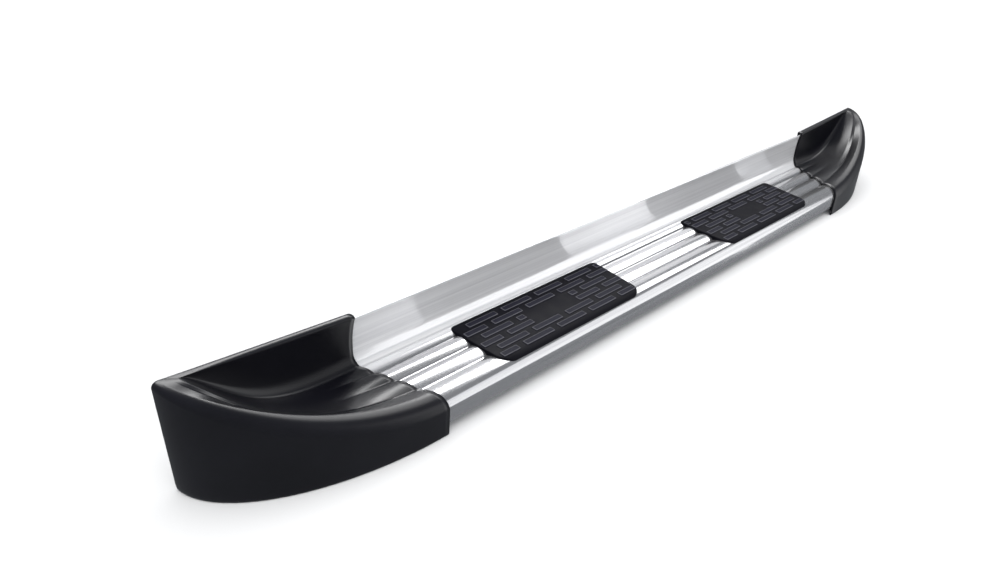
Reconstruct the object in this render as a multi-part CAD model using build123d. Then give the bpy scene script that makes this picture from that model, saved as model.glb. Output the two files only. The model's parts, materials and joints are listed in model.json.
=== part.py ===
from build123d import *
import math
import os

# Running board for one side of a pickup: a formed stainless skin on two channel rails, with a
# moulded scoop-shaped cap on each end and two rubber step pads.
# Millimetres.  X runs along the board, -Y is the outer (kerb) side, +Y the vehicle side, +Z up.
# The origin is under the middle of the board, on the surface that its end caps stand on.

# ---------------------------------------------------------------- driving sizes
BOARD_LENGTH = 1986.0        # over the tops of both end caps
BOARD_DEPTH = 155.6          # outer face of the caps to their rear face
SKIN_GAUGE = 1.5             # stainless sheet
CAP_WALL = 3.0               # moulded wall of an end cap
CAP_CLEARANCE = 0.3          # gap between a cap and the skin inside it

WALL_TOP = (68.0, 154.5)     # (y, z) of the folded top edge of the splash wall
WALL_MIDDLE = (72.8, 122.0)
FILLET_TOP = (72.6, 94.0)    # the wall curves forward from here into the step
CREASE = (59.5, 71.5)        # (y, z) where the splash wall meets the step
STEP_VALLEYS = (38.0, 6.5, -28.5)    # y of the three valleys between the tread ribs
VALLEY_Z = 64.0              # height of the middle valley
STEP_SLOPE = 0.09            # the step falls by this much for each mm towards the nose
RIB_RISE = 4.8               # height of a rib's crown over its valleys
NOSE_CREST = (-52.0, 65.0)   # (y, z) of the top of the rolled nose
NOSE_RADIUS = 22.5
CURL_RADIUS = 11.0
FLANGE_Z = 11.0              # underside of the return flange below the nose
FLANGE_END_Y = -40.0
HEM_HEIGHT = 12.0            # folded strip behind the top of the splash wall
HEM_LEAN = 1.5
HEM_OVERLAP = 0.3            # the hem is drawn this far into the skin, so that they are one sheet

JOINT_X = 695.0              # cap edge, measured at the crease
JOINT_SLANT = 0.40           # the cap edge comes inboard by this much for each mm towards the nose
SKIN_TUCK = 25.0             # length of skin inside a cap
TUCK_END_GAP = 3.0
BEND_START_X = 650.0         # where the plan outline of a cap starts to curve in
CAP_TOP_AT_JOINT = 158.5
CAP_TOP_AT_TIP = 174.0
CAP_FLARE = 12.0             # the top of the tip stands this much outboard of its foot
RIM_LINEAR_SHARE = 0.25      # part of the rim's climb that is a straight ramp
RIM_POWER = 2.2              # how late the rest of the climb comes
BOWL_FLOOR_SHARE = 0.9       # the bowl's floor climbs this part of the height at the tip
BOWL_POWER = 2.2             # how steeply the bowl's floor turns up into the rim
RIB_FADE_END = 0.45          # part of the way to the tip where the moulded ribs have died out

RAIL_Y = {"front": -28.5, "rear": 39.5}
RAIL_WIDTH = 34.0
RAIL_DROP = 9.0              # from the underside of the middle valley down to the rails
RAIL_HEIGHT = 20.0
RAIL_GAUGE = 2.0
RAIL_SLOT = 9.0
RAIL_HALF_LENGTH = 645.0

GUSSET_X = {"left_outer": -580.0, "left_inner": -263.0, "right_inner": 263.0, "right_outer": 580.0}
GUSSET_GAUGE = 3.0
TOE_GAP = 4.0                # between a gusset's toe and the front rail
BULKHEAD_X = 647.0
BULKHEAD_GAUGE = 2.0
FOOT_REACH = 44.0            # length of a bulkhead's foot, under the bridge screws
FOOT_HALF_WIDTH = 62.0

BOLT_STATIONS = {"left": -440.0, "centre": 0.0, "right": 440.0}
STUD_RADIUS = 4.0            # M8
STUD_END_Z = 10.0
STUD_CHAMFER = 1.0
BOLT_NECK = 8.0              # square neck that keeps a bolt from turning in the slot
BOLT_HEAD = (14.0, 20.0, 5.0)        # along X, Y, Z
CARRIER = (26.0, 28.0, 10.0)
SLIDING_GAP = 0.3

PAD_INNER_X = 145.0          # rear edge of a pad, end nearer the middle of the board
PAD_OUTER_X = 523.0
PAD_TAPER = 9.0              # the front edge is this much shorter at each end
PAD_REAR_Y = 55.0
PAD_FRONT_Y = -67.0
PAD_TOP_REAR_Z = 75.0
PAD_OVER_CREST = 2.8         # thickness of a pad over the top of the nose
PAD_TRIM = 1.0               # a pad's section is drawn this much too deep, and its outline trims it
PAD_SEAT_GAP = 0.002
PAD_CORNER_REAR = 12.0
PAD_CORNER_FRONT = 24.0
TREAD_ROWS = 6
TREAD_REAR_Y = 45.0          # rear edge of the first row of tread blocks
TREAD_ROW_PITCH = 18.0
TREAD_SIZE = (68.0, 12.0)    # length and depth of one block
TREAD_PITCH = 83.0           # along a row; every other row is shifted by half of it
TREAD_START_X = -578.0       # outer end of the first row's first block, before it is cut to the pad
TREAD_HEIGHT = 1.6
TREAD_ROOT = 1.0             # depth of a block inside the pad
TREAD_MARGIN = 3.0           # between a block and the end of the pad
TREAD_STUB = 10.0            # a cut block shorter than this is left out
PANEL_X = (-395.0, -278.0)   # plain panel that interrupts the middle rows
PANEL_ROWS = (2, 3)
PEG_RADIUS = 3.0
PEG_HOLE_RADIUS = 3.2
PEG_END = 2.5                # length of a peg below its push nut
PEG_ROOT = 1.8               # a peg is drawn up to this far below the top of the pad
PEG_PITCH = 130.0
PEG_CREST_Y = -50.0          # row of pegs near the top of the nose
PUSH_NUT_RADIUS = 7.0
PUSH_NUT_GAUGE = 0.8
NUT_DROP_VALLEY = 0.3        # gap between the skin and a push nut under a valley
NUT_DROP_CREST = 1.5

CAP_STATIONS = (0, 8, 16, 24, 32, 40, 48, 55, 62, 68, 74, 79, 84)    # degrees round the plan ellipse
HOLLOW_STATIONS = CAP_STATIONS[:-3]  # the hollow stops short of the tip
PROFILE_POINTS = 44          # points along a cap's top and front in one section
CAVITY_CEILING = 5.0         # thickness of plastic over the cavity in a cap
CAP_OVERHANG = 44.0          # how far the first section is carried inboard before the slanted trim

BRIDGE_X = (665.0, 725.0)    # strip under a cap that the cap screws pass through
BRIDGE_Z = (4.0, 8.0)
SCREW_Y = (-30.0, 8.0, 46.0)
SCREW_X = 681.0
SCREW_RADIUS = 2.4
SCREW_HEAD_RADIUS = 5.0
SCREW_HEAD_HEIGHT = 2.5
SCREW_END_Z = 17.0
BRIDGE_HOLE_RADIUS = SCREW_RADIUS + 0.6
FOOT_HOLE_RADIUS = SCREW_RADIUS + 1.2
CLIP_WIDTH = 14.0
CLIP_GAUGE = 1.0
CLIP_TAIL = 8.0              # length of a clip inboard of its screw

# ---------------------------------------------------------------- sizes that follow
NOSE_Y = NOSE_CREST[0] - NOSE_RADIUS
FACE_TOP = (NOSE_Y, NOSE_CREST[1] - NOSE_RADIUS)
CAP_OFFSET = CAP_WALL + CAP_CLEARANCE
CAP_FRONT_Y = NOSE_Y - CAP_OFFSET
CAP_REAR_Y = CAP_FRONT_Y + BOARD_DEPTH
TIP_X = BOARD_LENGTH / 2
FOOT_TIP_X = TIP_X - CAP_FLARE
PLAN_HALF_AXIS = (FOOT_TIP_X - BEND_START_X) / math.sin(math.radians(CAP_STATIONS[-1]))
RAIL_TOP_Z = VALLEY_Z - SKIN_GAUGE - RAIL_DROP
RAIL_BOTTOM_Z = RAIL_TOP_Z - RAIL_HEIGHT
HEAD_LOW_Z = RAIL_BOTTOM_Z + RAIL_GAUGE + SLIDING_GAP
FOOT_Z = FLANGE_Z - BULKHEAD_GAUGE
PAD_LIP_RADIUS = NOSE_RADIUS + PAD_OVER_CREST
PAD_TOP_CREST_Z = NOSE_CREST[1] + PAD_OVER_CREST
VALLEY_NUT_Z = VALLEY_Z - SKIN_GAUGE - NUT_DROP_VALLEY - PUSH_NUT_GAUGE
CREST_NUT_Z = NOSE_CREST[1] - SKIN_GAUGE - NUT_DROP_CREST - PUSH_NUT_GAUGE
PEG_ROWS = {STEP_VALLEYS[1]: VALLEY_NUT_Z, PEG_CREST_Y: CREST_NUT_Z}     # y: underside of its nuts
SIDES = {"left": -1, "right": 1}


def save(node, shape):
    """Write one node as parts/NODE.step."""
    export_step(shape, os.path.join("parts", node + ".step"))


def box(low, high):
    """A box between two opposite corners."""
    size = [b - a for a, b in zip(low, high)]
    middle = [(a + b) / 2 for a, b in zip(low, high)]
    return Pos(*middle) * Box(*size)


def upright(radius, x, y, low, high):
    """A round bar along Z from low to high."""
    return Pos(x, y, (low + high) / 2) * Cylinder(radius, high - low)


def block(x, y, low, length, width, height):
    """A box centred on x and y that stands on low."""
    return Pos(x, y, low + height / 2) * Box(length, width, height)


def mirrored(shape, side):
    """The shape as drawn on the left (-X) half, or its mirror image for the right half."""
    return shape if side < 0 else mirror(shape, about=Plane.YZ)


def section_to_solid(face, x_low, x_high):
    """Stand a face drawn in (y, z) upright and extrude it along X."""
    return extrude(Plane.YZ.offset(x_low) * face, x_high - x_low)


# ---------------------------------------------------------------- the section of the skin
def valley_z(y):
    """Height of the sloping line through the valleys of the step."""
    return VALLEY_Z + STEP_SLOPE * (y - STEP_VALLEYS[1])


def wall_and_step():
    """Edges of the visible surface from the top of the splash wall down to the front of the nose."""
    wall = ThreePointArc(WALL_TOP, WALL_MIDDLE, FILLET_TOP)
    edges = [wall, TangentArc(FILLET_TOP, CREASE, tangent=wall % 1)]
    start = CREASE
    for y in STEP_VALLEYS:
        crown_y = (start[0] + y) / 2
        valley = (y, valley_z(y))
        edges.append(ThreePointArc(start, (crown_y, valley_z(crown_y) + RIB_RISE), valley))
        start = valley
    back_of_nose = TangentArc(NOSE_CREST, start, tangent=(1, 0))
    edges.append(ThreePointArc(start, back_of_nose @ 0.5, NOSE_CREST))
    edges.append(TangentArc(NOSE_CREST, FACE_TOP, tangent=(-1, 0)))
    return edges


def skin_path():
    """The whole visible surface of the skin, down to its return flange."""
    face_foot = (NOSE_Y, FLANGE_Z + CURL_RADIUS)
    curl_end = (NOSE_Y + CURL_RADIUS, FLANGE_Z)
    edges = wall_and_step()
    edges.append(Line(FACE_TOP, face_foot))
    edges.append(TangentArc(face_foot, curl_end, tangent=(0, -1)))
    edges.append(Line(curl_end, (FLANGE_END_Y, FLANGE_Z)))
    return Wire(edges)


def slant_cutter(side_offset):
    """Everything outboard of the slanted cap edge of the left end, moved out by side_offset."""
    points = []
    for y in (CREASE[0] + BOARD_DEPTH, CREASE[0] - BOARD_DEPTH):
        points.append((-(JOINT_X - JOINT_SLANT * (CREASE[0] - y)) - side_offset, y))
    outline = Polyline(*points, (-2 * TIP_X, points[1][1]), (-2 * TIP_X, points[0][1]), close=True)
    return Pos(0, 0, -CAP_TOP_AT_TIP) * extrude(make_face(outline), 3 * CAP_TOP_AT_TIP)


def hem():
    """Outline of the strip that is folded down behind the top of the splash wall."""
    y, top = WALL_TOP[0] + SKIN_GAUGE, WALL_TOP[1]
    foot = top - HEM_HEIGHT
    points = [(y - HEM_OVERLAP, top), (y + SKIN_GAUGE, top)]
    points += [(y + SKIN_GAUGE + HEM_LEAN, foot), (y + HEM_LEAN - HEM_OVERLAP, foot)]
    return make_face(Polyline(*points, close=True))


def step_skin():
    """Formed stainless section with a hemmed top edge, trimmed on the slant at both ends."""
    section = make_face(skin_path().offset_2d(SKIN_GAUGE, side=Side.LEFT).edges())
    half_length = JOINT_X + 2 * SKIN_TUCK
    skin = section_to_solid(section, -half_length, half_length)
    skin += section_to_solid(hem(), -half_length, half_length)
    for side in SIDES.values():
        skin -= mirrored(slant_cutter(SKIN_TUCK), side)
        for x, y, nut_z in peg_places(side):
            skin -= upright(PEG_HOLE_RADIUS, x, y, nut_z, PAD_TOP_REAR_Z)
    return skin


def peg_places(side):
    """X, Y and push-nut height of each peg of the pad on one side."""
    middle = side * (PAD_INNER_X + PAD_OUTER_X) / 2
    return [(middle + step * PEG_PITCH, y, nut_z) for y, nut_z in PEG_ROWS.items() for step in (-1, 0, 1)]


def under_skin(gap):
    """Face of the space under the visible surface, inside it by gap, down to below the floor."""
    below_floor = -BOARD_DEPTH / 2
    path = Wire(wall_and_step() + [Line(FACE_TOP, (NOSE_Y, below_floor))])
    inner = path.offset_2d(abs(gap), side=Side.LEFT if gap > 0 else Side.RIGHT, closed=False)
    foot, top = sorted([inner @ 0, inner @ 1], key=lambda end: end.Y)
    rear_y = CAP_REAR_Y - CAP_WALL
    ceiling = WALL_TOP[1] + 1.0
    closing = Polyline(top, (top.X, ceiling), (rear_y, ceiling), (rear_y, foot.Y), foot)
    return make_face(inner.edges() + closing.edges())


# ---------------------------------------------------------------- end caps, drawn as the left one
def bend(angle):
    """X and width factor of a cap section at an angle round the plan ellipse."""
    x = -(BEND_START_X + PLAN_HALF_AXIS * math.sin(math.radians(angle)))
    return x, math.cos(math.radians(angle))


def rise(fraction):
    """How far the wall top, the bowl floor and the rim have risen at a fraction of the way to the tip."""
    wall = (CAP_TOP_AT_TIP - CAP_TOP_AT_JOINT) * fraction
    floor = BOWL_FLOOR_SHARE * (CAP_TOP_AT_TIP - VALLEY_Z) * fraction ** 4
    climb = RIM_LINEAR_SHARE * fraction + (1 - RIM_LINEAR_SHARE) * fraction ** RIM_POWER
    rim = (CAP_TOP_AT_TIP + 1.0 - NOSE_CREST[1] - CAP_OFFSET) * climb
    return wall, floor, rim


def cap_profile():
    """Points of the cap's top and front where it leaves the skin, from the wall top to the foot."""
    path = Wire(wall_and_step() + [Line(FACE_TOP, (NOSE_Y, 0.0))])
    outer = path.offset_2d(CAP_OFFSET, side=Side.RIGHT, closed=False)
    points = [outer @ (index / (PROFILE_POINTS - 1)) for index in range(PROFILE_POINTS)]
    if points[0].Y < points[-1].Y:
        points.reverse()
    return [(point.X, point.Y) for point in points]


def cap_point(y, z, fraction, width):
    """Where a point of the joint section goes as the cap bends in and its rim climbs to the tip."""
    wall, floor, rim = rise(fraction)
    crease_y = CREASE[0] - CAP_OFFSET
    floor_z = valley_z(min(y, crease_y)) + CAP_OFFSET + RIB_RISE / 2
    if y > crease_y:
        share = (z - floor_z) / (WALL_TOP[1] - floor_z)
        z = floor_z + floor + share * (CAP_TOP_AT_JOINT + wall - floor_z - floor)
    elif y > NOSE_CREST[0]:
        share = (crease_y - y) / (crease_y - NOSE_CREST[0])
        if y > STEP_VALLEYS[2]:
            z = floor_z + (z - floor_z) * max(0.0, 1 - fraction / RIB_FADE_END)
        z = z + floor + (rim - floor) * share ** BOWL_POWER
    elif z > FACE_TOP[1]:
        z = z + rim
    else:
        z = z * (FACE_TOP[1] + rim) / FACE_TOP[1]
    return CAP_REAR_Y - (CAP_REAR_Y - y) * width, z


def flared(x, y, z, fraction):
    """A point of a cap section in space, moved outboard with its height near the tip."""
    return Vector(x - CAP_FLARE * fraction ** 2 * z / CAP_TOP_AT_TIP, y, z)


def cap_section(angle, profile):
    """Closed section of the solid cap at an angle round the plan ellipse."""
    x, width = bend(angle)
    fraction = math.sin(math.radians(angle))
    outline = [cap_point(y, z, fraction, width) for y, z in profile]
    outline += [(CAP_REAR_Y, 0.0), (CAP_REAR_Y, outline[0][1])]
    points = [flared(x, y, z, fraction) for y, z in outline]
    top_and_front = Spline(*points[:-2])
    closing = Polyline(*points[-3:], points[0])
    return Face(Wire([top_and_front] + closing.edges()))


def cavity_section(angle):
    """Section of the hollow under the bowl of a cap."""
    x, width = bend(angle)
    fraction = math.sin(math.radians(angle))
    ceiling = valley_z(NOSE_CREST[0]) + rise(fraction)[1] - CAVITY_CEILING
    front = CAP_REAR_Y - (CAP_REAR_Y - CAP_FRONT_Y) * width + CAP_WALL / max(width, 0.4)
    rear = CAP_REAR_Y - CAP_WALL
    corners = [(front, -1.0), (front, 0.75 * ceiling), (front + 0.25 * (rear - front), ceiling)]
    corners += [(rear, ceiling), (rear, -1.0)]
    return Face(Wire(Polyline(*[flared(x, y, z, fraction) for y, z in corners], close=True).edges()))


def end_cap():
    """Moulded scoop: a skin of plastic over the end of the board, closed behind, open below."""
    profile = cap_profile()
    sections = [cap_section(angle, profile) for angle in CAP_STATIONS]
    shell = loft(sections, ruled=True) + extrude(sections[0], CAP_OVERHANG, dir=(1, 0, 0))
    shell = shell & slant_cutter(0.0)
    sleeve = section_to_solid(under_skin(-CAP_CLEARANCE), -TIP_X, -BEND_START_X + CAP_OVERHANG)
    shell -= sleeve - slant_cutter(SKIN_TUCK + TUCK_END_GAP)
    shell -= loft([cavity_section(angle) for angle in HOLLOW_STATIONS], ruled=True)
    bridge_low = (-BRIDGE_X[1], CAP_FRONT_Y + CAP_WALL / 2, BRIDGE_Z[0])
    shell += box(bridge_low, (-BRIDGE_X[0], CAP_REAR_Y - 1.0, BRIDGE_Z[1]))
    for y in SCREW_Y:
        shell -= upright(BRIDGE_HOLE_RADIUS, -SCREW_X, y, BRIDGE_Z[0] - 1, BRIDGE_Z[1] + 1)
    return shell


# ---------------------------------------------------------------- step pads
def pad_outline():
    """Plan of the left pad: a shorter front edge and four rounded corners."""
    rear_left, rear_right = -PAD_OUTER_X, -PAD_INNER_X
    corners = [(rear_left, PAD_REAR_Y), (rear_left + PAD_TAPER, PAD_FRONT_Y)]
    corners += [(rear_right - PAD_TAPER, PAD_FRONT_Y), (rear_right, PAD_REAR_Y)]
    face = fillet(make_face(Polyline(*corners, close=True)).vertices().group_by(Axis.Y)[0], PAD_CORNER_FRONT)
    return fillet(face.vertices().group_by(Axis.Y)[-1], PAD_CORNER_REAR)


def pad_top_z(y):
    """Height of the plain top of a pad, between its rear edge and the top of the nose."""
    share = (PAD_REAR_Y - y) / (PAD_REAR_Y - NOSE_CREST[0])
    return PAD_TOP_REAR_Z + (PAD_TOP_CREST_Z - PAD_TOP_REAR_Z) * share


def pad_slab():
    """Section of a pad: a flat top that rolls over the nose in an arc round the nose's centre."""
    front_y = PAD_FRONT_Y - PAD_TRIM
    lip_drop = PAD_LIP_RADIUS - math.sqrt(PAD_LIP_RADIUS ** 2 - (NOSE_CREST[0] - front_y) ** 2)
    lip_end = (front_y, PAD_TOP_CREST_Z - lip_drop)
    lip = TangentArc((NOSE_CREST[0], PAD_TOP_CREST_Z), lip_end, tangent=(-1, 0))
    low = FACE_TOP[1]
    rest = Polyline(lip_end, (front_y, low), (PAD_REAR_Y, low), (PAD_REAR_Y, PAD_TOP_REAR_Z), lip @ 0)
    return make_face([lip] + rest.edges())


def pad_end_inset(y):
    """How far the slanted, rounded end of a pad at y stands back from its rear corner."""
    slant = PAD_TAPER * (PAD_REAR_Y - y) / (PAD_REAR_Y - PAD_FRONT_Y)
    into_corner = max(0.0, PAD_FRONT_Y + PAD_CORNER_FRONT - y)
    return slant + PAD_CORNER_FRONT - math.sqrt(PAD_CORNER_FRONT ** 2 - into_corner ** 2)


def tread_spans(row, x_low, x_high):
    """Ends of the blocks in one row, cut to the pad and to the plain panel."""
    length = TREAD_SIZE[0]
    windows = [(x_low, PANEL_X[0]), (PANEL_X[1], x_high)] if row in PANEL_ROWS else [(x_low, x_high)]
    spans = []
    x = TREAD_START_X + (TREAD_PITCH / 2 if row % 2 else 0.0)
    while x < x_high:
        cut = [(max(x, low), min(x + length, high)) for low, high in windows]
        spans += [(left, right) for left, right in cut if right - left > TREAD_STUB]
        x += TREAD_PITCH
    return spans


def tread_blocks():
    """Raised blocks in staggered rows, like brickwork with wide joints, on the left pad."""
    blocks = []
    for row in range(TREAD_ROWS):
        rear_y = TREAD_REAR_Y - row * TREAD_ROW_PITCH
        front_y = rear_y - TREAD_SIZE[1]
        inset = TREAD_MARGIN + pad_end_inset(front_y)
        rear_z, front_z = pad_top_z(rear_y), pad_top_z(front_y)
        corners = [(rear_y, rear_z - TREAD_ROOT), (rear_y, rear_z + TREAD_HEIGHT)]
        corners += [(front_y, front_z + TREAD_HEIGHT), (front_y, front_z - TREAD_ROOT)]
        section = make_face(Polyline(*corners, close=True))
        for left, right in tread_spans(row, inset - PAD_OUTER_X, -PAD_INNER_X - inset):
            blocks.append(section_to_solid(section, left, right))
    return blocks


def step_pad():
    """Moulded rubber pad that sits in the ribs of the skin, with pegs through the skin."""
    pad = section_to_solid(pad_slab(), -PAD_OUTER_X, -PAD_INNER_X)
    pad &= extrude(pad_outline(), PAD_TOP_REAR_Z + TREAD_HEIGHT)
    pad -= section_to_solid(under_skin(-PAD_SEAT_GAP), -TIP_X, 0)
    for tread_block in tread_blocks():
        pad += tread_block
    for x, y, nut_z in peg_places(-1):
        pad += upright(PEG_RADIUS, x, y, nut_z - PEG_END, pad_top_z(y) - PEG_ROOT)
    return pad


def push_nuts():
    """Spring discs that hold the pegs of the left pad below the skin."""
    discs = []
    for x, y, nut_z in peg_places(-1):
        disc = upright(PUSH_NUT_RADIUS, x, y, nut_z, nut_z + PUSH_NUT_GAUGE)
        discs.append(disc - upright(PEG_RADIUS, x, y, nut_z - 1, nut_z + 2))
    return Compound(discs)


# ---------------------------------------------------------------- frame under the skin
def rail(y):
    """C-shaped channel with its slot facing down."""
    half, inner = RAIL_WIDTH / 2, RAIL_WIDTH / 2 - RAIL_GAUGE
    low, high = RAIL_BOTTOM_Z, RAIL_TOP_Z
    reach = RAIL_HALF_LENGTH + 1
    channel = box((-RAIL_HALF_LENGTH, y - half, low), (RAIL_HALF_LENGTH, y + half, high))
    channel -= box((-reach, y - inner, low + RAIL_GAUGE), (reach, y + inner, high - RAIL_GAUGE))
    channel -= box((-reach, y - RAIL_SLOT / 2, low - 1), (reach, y + RAIL_SLOT / 2, low + RAIL_GAUGE + 1))
    return channel


def web(x_low, x_high, bottom_z):
    """Cross plate that fills the skin's section above bottom_z, notched for both rails."""
    plate = section_to_solid(under_skin(SKIN_GAUGE), x_low, x_high)
    plate &= box((x_low, NOSE_Y, bottom_z), (x_high, CREASE[0], CREASE[1]))
    for y in RAIL_Y.values():
        half = RAIL_WIDTH / 2
        plate -= box((x_low, y - half, bottom_z - 1), (x_high, y + half, RAIL_TOP_Z))
    return plate


def gusset(x):
    """Cross plate between the skin and the rails; its toe runs down inside the nose."""
    x_low, x_high = x - GUSSET_GAUGE / 2, x + GUSSET_GAUGE / 2
    toe_end_y = RAIL_Y["front"] - RAIL_WIDTH / 2 - TOE_GAP
    toe = web(x_low, x_high, FLANGE_Z + CURL_RADIUS)
    toe &= box((x_low, NOSE_Y, 0), (x_high, toe_end_y, RAIL_BOTTOM_Z + 1))
    return web(x_low, x_high, RAIL_BOTTOM_Z) + toe


def bulkhead():
    """End plate under the skin with a foot that the end cap is screwed to, drawn for the left."""
    x_high = -BULKHEAD_X
    x_low = x_high - BULKHEAD_GAUGE
    plate = section_to_solid(under_skin(SKIN_GAUGE), x_low, x_high)
    plate &= box((x_low, NOSE_Y + CURL_RADIUS, FLANGE_Z), (x_high, FOOT_HALF_WIDTH, CREASE[1]))
    plate -= box((x_low, NOSE_Y, FLANGE_Z), (x_high, FLANGE_END_Y + 1, FLANGE_Z + SKIN_GAUGE))
    foot = box((x_high - FOOT_REACH, -FOOT_HALF_WIDTH, FOOT_Z), (x_high, FOOT_HALF_WIDTH, FLANGE_Z))
    for y in SCREW_Y:
        foot -= upright(FOOT_HOLE_RADIUS, -SCREW_X, y, FOOT_Z - 1, FLANGE_Z + 1)
    return plate + foot


# ---------------------------------------------------------------- fasteners
def cap_clips():
    """Spring clips that slip over the edge of the left bulkhead's foot, one for each cap screw."""
    edge_x = -BULKHEAD_X - FOOT_REACH
    tail_x = -SCREW_X + CLIP_TAIL
    low, high = FOOT_Z - CLIP_GAUGE, FLANGE_Z + CLIP_GAUGE
    half = CLIP_WIDTH / 2
    clips = []
    for y in SCREW_Y:
        clip = box((edge_x - CLIP_GAUGE, y - half, low), (tail_x, y + half, high))
        clip -= box((edge_x, y - half - 1, FOOT_Z), (tail_x + 1, y + half + 1, FLANGE_Z))
        clips.append(clip - upright(SCREW_RADIUS, -SCREW_X, y, low - 1, high + 1))
    return Compound(clips)


def cap_screws():
    """Pan-head screws that come up through the bridge of the left cap into the clips."""
    head_top = BRIDGE_Z[0]
    screws = []
    for y in SCREW_Y:
        head = upright(SCREW_HEAD_RADIUS, -SCREW_X, y, head_top - SCREW_HEAD_HEIGHT, head_top)
        head = fillet(head.edges().group_by(Axis.Z)[0], 0.9)
        shank = upright(SCREW_RADIUS, -SCREW_X, y, head_top, SCREW_END_Z)
        screws.append(head + chamfer(shank.edges().group_by(Axis.Z)[-1], 0.8))
    return Compound(screws)


def t_bolt(x, y):
    """Flat-headed bolt with a square neck in the slot of a rail and its stud hanging below."""
    length, width, height = BOLT_HEAD
    head = block(x, y, HEAD_LOW_Z, length, width, height)
    head = chamfer(head.edges().group_by(Axis.Z)[-1], 0.8)
    neck = block(x, y, RAIL_BOTTOM_Z, BOLT_NECK, BOLT_NECK, HEAD_LOW_Z - RAIL_BOTTOM_Z)
    stud = upright(STUD_RADIUS, x, y, STUD_END_Z, RAIL_BOTTOM_Z)
    return head + neck + chamfer(stud.edges().group_by(Axis.Z)[0], STUD_CHAMFER)


def bolt_carrier(x, y):
    """Nylon cage over the head of a T-bolt that keeps it square in its rail."""
    cage = block(x, y, HEAD_LOW_Z, *CARRIER)
    cage = fillet(cage.edges().filter_by(Axis.Z), 2.0)
    return cage - block(x, y, HEAD_LOW_Z, *BOLT_HEAD)


# ---------------------------------------------------------------- write every node
os.makedirs("parts", exist_ok=True)
save("step_skin", step_skin())
one_of_a_pair = {"end_cap": end_cap(), "step_pad": step_pad(), "pad_push_nuts": push_nuts()}
one_of_a_pair |= {"bulkhead": bulkhead(), "cap_clips": cap_clips(), "cap_screws": cap_screws()}
for name, shape in one_of_a_pair.items():
    for side_name, side in SIDES.items():
        save(f"{name}_{side_name}", mirrored(shape, side))
for name, y in RAIL_Y.items():
    save(f"{name}_rail", rail(y))
    for station, x in BOLT_STATIONS.items():
        save(f"t_bolt_{name}_{station}", t_bolt(x, y))
        save(f"bolt_carrier_{name}_{station}", bolt_carrier(x, y))
for name, x in GUSSET_X.items():
    save(f"gusset_{name}", gusset(x))
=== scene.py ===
import json
import math

import bmesh
import bpy
from mathutils import Matrix, Vector


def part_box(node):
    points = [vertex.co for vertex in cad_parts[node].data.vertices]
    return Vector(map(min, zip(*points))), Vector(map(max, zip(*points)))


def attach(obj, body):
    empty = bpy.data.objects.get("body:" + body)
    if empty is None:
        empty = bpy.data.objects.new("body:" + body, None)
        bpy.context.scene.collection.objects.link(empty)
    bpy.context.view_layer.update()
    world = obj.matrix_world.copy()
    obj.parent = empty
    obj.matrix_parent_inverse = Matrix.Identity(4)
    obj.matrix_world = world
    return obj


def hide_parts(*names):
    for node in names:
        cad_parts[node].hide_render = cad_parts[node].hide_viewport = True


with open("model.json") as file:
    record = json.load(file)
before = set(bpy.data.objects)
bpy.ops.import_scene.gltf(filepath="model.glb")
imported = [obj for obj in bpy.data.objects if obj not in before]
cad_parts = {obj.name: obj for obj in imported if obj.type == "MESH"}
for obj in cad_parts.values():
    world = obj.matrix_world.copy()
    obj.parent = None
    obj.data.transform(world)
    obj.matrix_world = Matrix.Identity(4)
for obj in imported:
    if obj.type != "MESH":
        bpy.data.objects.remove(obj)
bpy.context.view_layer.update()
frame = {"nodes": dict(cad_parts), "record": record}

# Looks of a running board.  The polished stainless skin, the two moulded scoop-shaped end caps and
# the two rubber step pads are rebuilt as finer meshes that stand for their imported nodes; every other
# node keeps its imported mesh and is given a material.
# Metres.  X runs along the board, -Y is the kerb side, +Y the vehicle side.

MM = 0.001
WELD = 0.001 * MM            # points closer than this become one
SIDES = {"left": -1, "right": 1}

# ---------------------------------------------------------------- driving sizes
GAUGE = 1.5 * MM             # stainless sheet
WALL_TOP = (68.0 * MM, 154.5 * MM)       # points of the section, as (y, z)
WALL_MIDDLE = (72.8 * MM, 122.0 * MM)
FILLET_TOP = (72.6 * MM, 94.0 * MM)
CREASE = (59.5 * MM, 71.5 * MM)
VALLEYS = (38.0 * MM, 6.5 * MM, -28.5 * MM)      # y of the folds between the tread ribs
VALLEY_Z = 64.0 * MM         # height of the middle one
STEP_SLOPE = 0.09            # fall of the valleys towards the kerb
RIB_RISE = 4.8 * MM
CREASE_WIDTH = 1.6 * MM      # the sharp fold line in each valley
CREASE_DEPTH = 1.3 * MM
CREST = (-52.0 * MM, 65.0 * MM)          # where the nose starts to round over
NOSE_RADIUS = 22.5 * MM
NOSE_Y = CREST[0] - NOSE_RADIUS
CURL_RADIUS = 15.0 * MM
FLANGE_Z = 11.0 * MM
FLANGE_END_Y = -40.0 * MM
HEM_HEIGHT = 12.0 * MM
HEM_RADIUS = 1.7 * MM
HEM_LEAN = 1.5 * MM
FLAT_STEPS = 4               # pieces that each flat or arc of the sheet's outline is drawn in
HEM_STEPS = 8
WALL_STEPS = 24
FILLET_STEPS = 16
RIB_STEPS = 16
CREST_STEPS = 12
NOSE_STEPS = 20
CURL_STEPS = 12

JOINT_X = 695.0 * MM         # cap edge at the crease; it slants inboard towards the nose
JOINT_SLANT = 0.40
TUCK = 25.0 * MM             # how far the skin runs on inside a cap

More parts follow.
